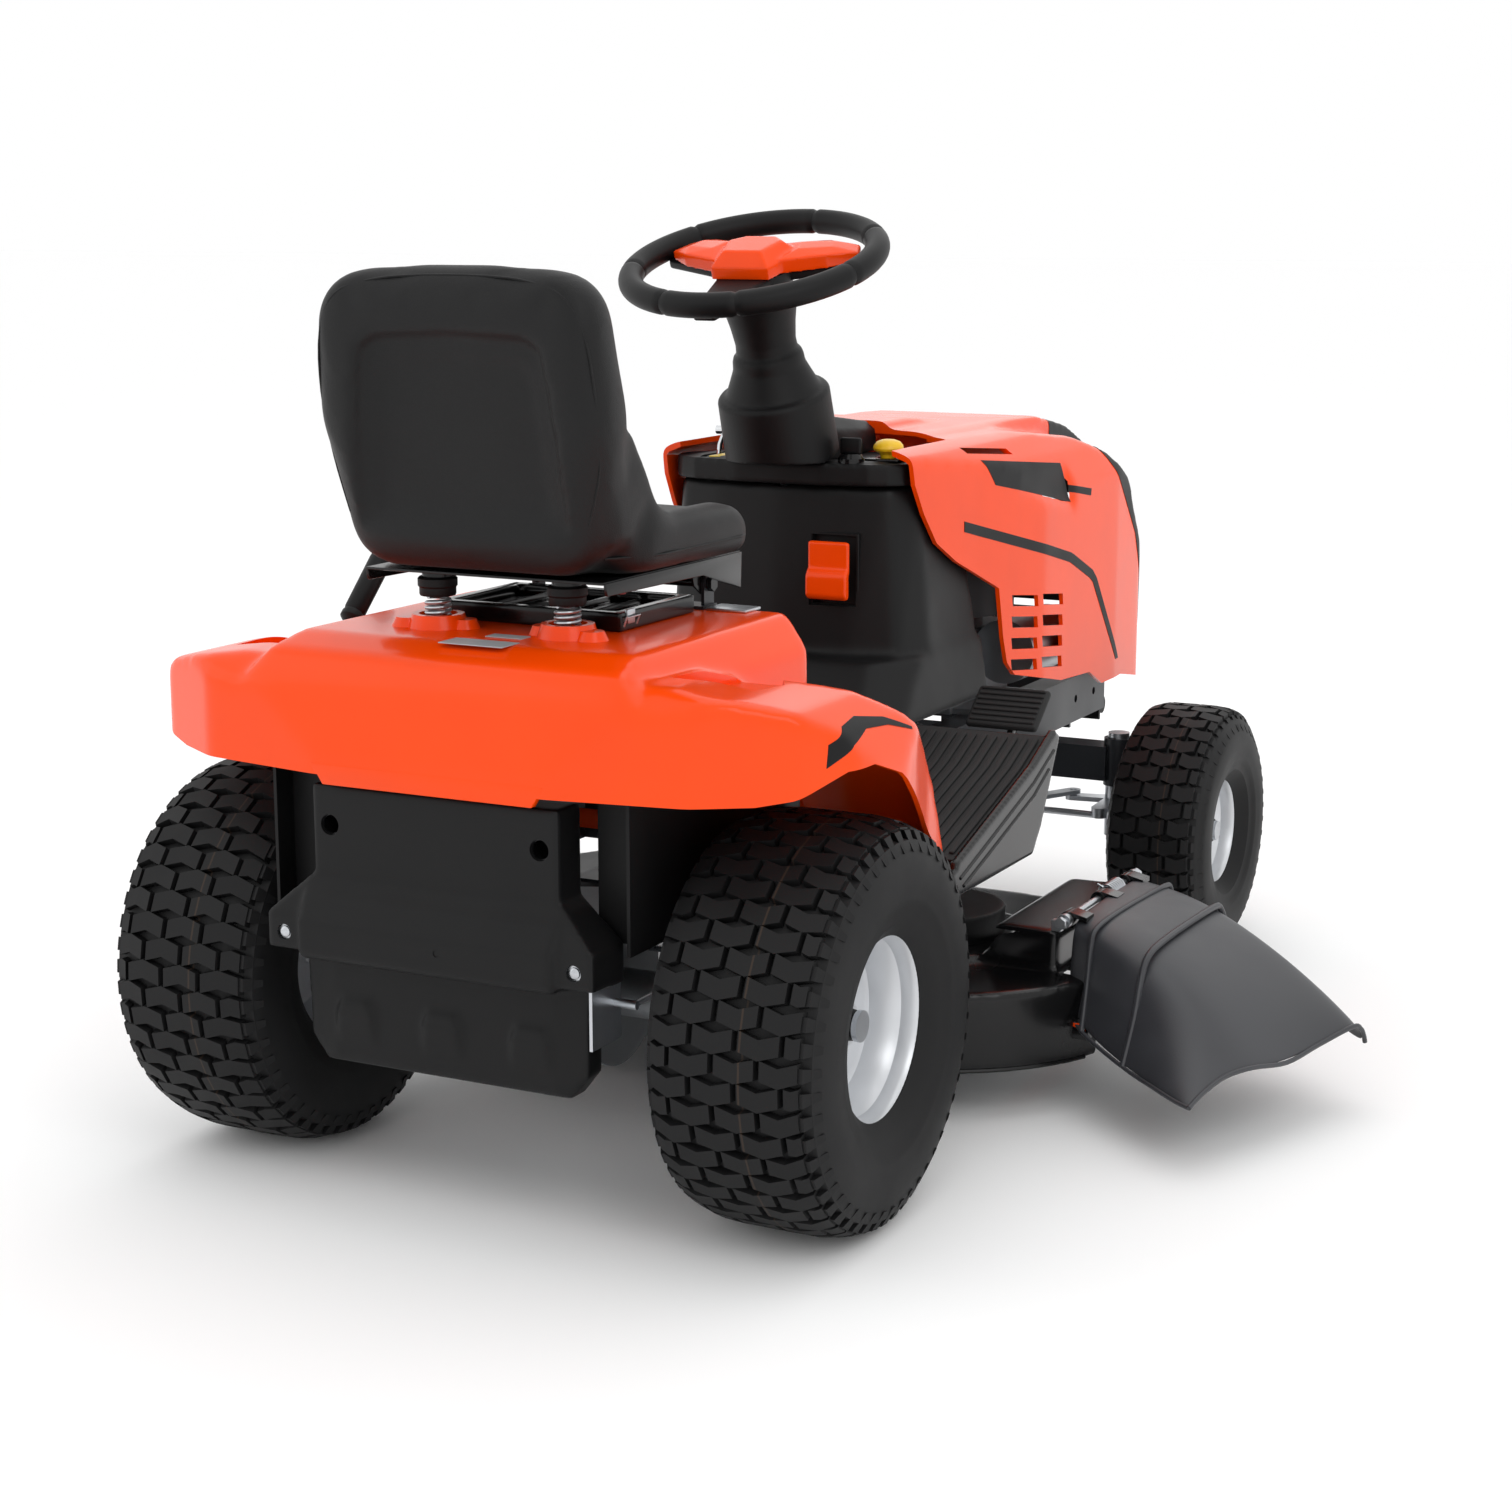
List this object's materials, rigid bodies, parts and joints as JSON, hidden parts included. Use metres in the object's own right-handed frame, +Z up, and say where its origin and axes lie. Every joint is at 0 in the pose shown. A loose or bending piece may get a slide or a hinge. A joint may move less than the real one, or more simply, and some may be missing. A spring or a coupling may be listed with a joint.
{
  "type": "lawn tractor",
  "caption": "Ride-on lawn tractor with a steering wheel, opening hood, sprung tilting seat, side-discharge cutting deck with a flared deflector and turf tyres.",
  "frame": {"origin": "middle of the bounding box, on the ground under the tyres", "axes": "+Y forward along the tractor, +X to the driver's right, +Z up"},
  "size_m": [1.305, 1.7933, 1.0928],
  "materials": {
    "frame": "satin grey-black powder coat",
    "orange_panel": "gloss orange moulding",
    "black_plastic": "fine-grained matte black moulding",
    "gloss_black": "gloss black moulding",
    "deck_paint": "gloss black paint",
    "zinc": "zinc-plated steel",
    "cast_grey": "as-cast aluminium",
    "seat_cover": "matte black vinyl",
    "tread": "matte rubber",
    "rim_paint": "satin silver paint",
    "rubber_mat": "ribbed rubber",
    "chute_plastic": "semi-matte dark grey moulding",
    "yellow_plastic": "yellow moulding",
    "chrome_metal": "bright plating",
    "engine_black": "satin black paint"
  },
  "bodies": {
    "chassis": {"frame_rails": "frame", "seat_support": "frame", "transaxle": "cast_grey", "fender": "orange_panel", "rear_cover": "black_plastic", "cover_bracket": "zinc", "fuel_tank": "black_plastic", "spring_l": "zinc", "spring_r": "zinc", "hinge_bracket": "frame", "console": "black_plastic", "dash": "black_plastic", "column_shroud": "black_plastic", "footrest_l": "gloss_black", "footrest_r": "gloss_black", "mat_l": "rubber_mat", "mat_r": "rubber_mat", "engine_block": "cast_grey", "engine_shroud": "engine_black", "muffler": "chrome_metal", "front_guard": "frame", "axle_bracket": "frame", "steering_box": "frame", "deck_hangers": "zinc"},
    "steering": {"steering_wheel": "black_plastic", "wheel_cover": "orange_panel", "steering_shaft": "zinc"},
    "pitman": {"pitman_arm": "zinc"},
    "drag_link": {"drag_link": "zinc"},
    "tie_rod": {"tie_rod": "zinc"},
    "front_axle": {"front_axle": "frame"},
    "knuckle_l": {"knuckle_l": "zinc"},
    "knuckle_r": {"knuckle_r": "zinc"},
    "front_wheel_l": {"front_tyre_l": "tread", "front_rim_l": "rim_paint"},
    "front_wheel_r": {"front_tyre_r": "tread", "front_rim_r": "rim_paint"},
    "rear_wheel_l": {"rear_tyre_l": "tread", "rear_rim_l": "rim_paint", "axle_shaft_l": "zinc"},
    "rear_wheel_r": {"rear_tyre_r": "tread", "rear_rim_r": "rim_paint", "axle_shaft_r": "zinc"},
    "seat": {"seat_plate": "frame", "seat_cushion": "seat_cover"},
    "hood": {"hood": "orange_panel", "hood_grille": "black_plastic"},
    "deck": {"deck_shell": "deck_paint", "belt_cover_l": "black_plastic", "belt_cover_r": "black_plastic"},
    "blade_l": {"spindle_l": "zinc"},
    "blade_r": {"spindle_r": "zinc"},
    "deflector": {"deflector": "chute_plastic"},
    "brake_pedal": {"brake_pedal": "rubber_mat"},
    "throttle_lever": {"throttle_lever": "chrome_metal"},
    "pto_knob": {"pto_knob": "yellow_plastic"},
    "key": {"key": "black_plastic"},
    "latch_handle": {"latch_handle": "orange_panel"},
    "lift_lever": {"lift_lever": "black_plastic"}
  },
  "joints": [
    {"name": "steering_turn", "type": "hinge", "parent": "chassis", "child": "steering", "pos_m": [-0.1475, -0.119, 1.027], "axis": [0, -0.3173, 0.9483], "range_deg": [-160, 160]},
    {"name": "axle_pivot", "type": "hinge", "parent": "chassis", "child": "front_axle", "pos_m": [-0.1475, 0.603, 0.275], "axis": [0, 1, 0], "range_deg": [-4, 4]},
    {"name": "steer_l", "type": "hinge", "parent": "front_axle", "child": "knuckle_l", "pos_m": [-0.3975, 0.603, 0.22], "axis": [0, 0, 1], "range_deg": [-28, 28]},
    {"name": "steer_r", "type": "hinge", "parent": "front_axle", "child": "knuckle_r", "pos_m": [0.1025, 0.603, 0.22], "axis": [0, 0, 1], "range_deg": [-28, 28]},
    {"name": "pitman_turn", "type": "hinge", "parent": "chassis", "child": "pitman", "pos_m": [-0.0875, 0.247, 0.24], "axis": [0, 0, 1], "range_deg": [-28, 28]},
    {"name": "drag_link_turn", "type": "hinge", "parent": "knuckle_r", "child": "drag_link", "pos_m": [0.0365, 0.591, 0.225], "axis": [0, 0, 1], "range_deg": [-28, 28]},
    {"name": "tie_rod_turn", "type": "hinge", "parent": "knuckle_l", "child": "tie_rod", "pos_m": [-0.3975, 0.523, 0.21], "axis": [0, 0, 1], "range_deg": [-28, 28]},
    {"name": "front_spin_l", "type": "hinge", "parent": "knuckle_l", "child": "front_wheel_l", "pos_m": [-0.5075, 0.603, 0.1855], "axis": [1, 0, 0], "continuous": true},
    {"name": "front_spin_r", "type": "hinge", "parent": "knuckle_r", "child": "front_wheel_r", "pos_m": [0.2125, 0.603, 0.1855], "axis": [1, 0, 0], "continuous": true},
    {"name": "rear_spin_l", "type": "hinge", "parent": "chassis", "child": "rear_wheel_l", "pos_m": [-0.4945, -0.653, 0.2285], "axis": [1, 0, 0], "continuous": true},
    {"name": "rear_spin_r", "type": "hinge", "parent": "chassis", "child": "rear_wheel_r", "pos_m": [0.1995, -0.653, 0.2285], "axis": [1, 0, 0], "continuous": true},
    {"name": "seat_tilt", "type": "hinge", "parent": "chassis", "child": "seat", "pos_m": [-0.1475, -0.461, 0.668], "axis": [-1, 0, 0], "range_deg": [0, 60]},
    {"name": "hood_open", "type": "hinge", "parent": "chassis", "child": "hood", "pos_m": [-0.1475, 0.819, 0.39], "axis": [-1, 0, 0], "range_deg": [0, 55]},
    {"name": "deck_lift", "type": "slide", "parent": "chassis", "child": "deck", "axis": [0, 0, 1], "range_m": [-0.03, 0.012]},
    {"name": "lever_lift", "type": "hinge", "parent": "chassis", "child": "lift_lever", "pos_m": [-0.4775, -0.633, 0.52], "axis": [1, 0, 0], "range_deg": [-20.5, 8.5]},
    {"name": "blade_spin_l", "type": "hinge", "parent": "deck", "child": "blade_l", "pos_m": [-0.3825, -0.053, 0.12], "axis": [0, 0, 1], "continuous": true},
    {"name": "blade_spin_r", "type": "hinge", "parent": "deck", "child": "blade_r", "pos_m": [0.0875, -0.053, 0.12], "axis": [0, 0, 1], "continuous": true},
    {"name": "chute_lift", "type": "hinge", "parent": "deck", "child": "deflector", "pos_m": [0.2925, -0.013, 0.226], "axis": [0, -1, 0], "range_deg": [0, 75]},
    {"name": "brake_press", "type": "hinge", "parent": "chassis", "child": "brake_pedal", "pos_m": [0.1025, -0.057, 0.346], "axis": [-1, 0, 0], "range_deg": [0, 18], "stiffness_Nm_per_rad": 12, "springref_deg": -14.32},
    {"name": "throttle_move", "type": "hinge", "parent": "chassis", "child": "throttle_lever", "pos_m": [-0.2625, -0.003, 0.75], "axis": [1, 0, 0], "range_deg": [-20, 20]},
    {"name": "pto_pull", "type": "slide", "parent": "chassis", "child": "pto_knob", "axis": [0, 0, 1], "range_m": [0, 0.012]},
    {"name": "key_turn", "type": "hinge", "parent": "chassis", "child": "key", "pos_m": [-0.0515, -0.031, 0.77], "axis": [0, 0, -1], "range_deg": [0, 70]},
    {"name": "latch_pull", "type": "hinge", "parent": "chassis", "child": "latch_handle", "pos_m": [-0.0665, -0.059, 0.664], "axis": [-1, 0, 0], "range_deg": [0, 40]}
  ],
  "couplings": [
    {"joint": "steer_l", "follows": "steering_turn", "ratio": 0.175},
    {"joint": "steer_r", "follows": "steering_turn", "ratio": 0.175},
    {"joint": "pitman_turn", "follows": "steering_turn", "ratio": 0.175},
    {"joint": "drag_link_turn", "follows": "steering_turn", "ratio": -0.175},
    {"joint": "tie_rod_turn", "follows": "steering_turn", "ratio": -0.175},
    {"joint": "lever_lift", "follows": "deck_lift", "rad_per_m": 11.6},
    {"joint": "blade_spin_l", "follows": "blade_spin_r", "ratio": 1}
  ]
}
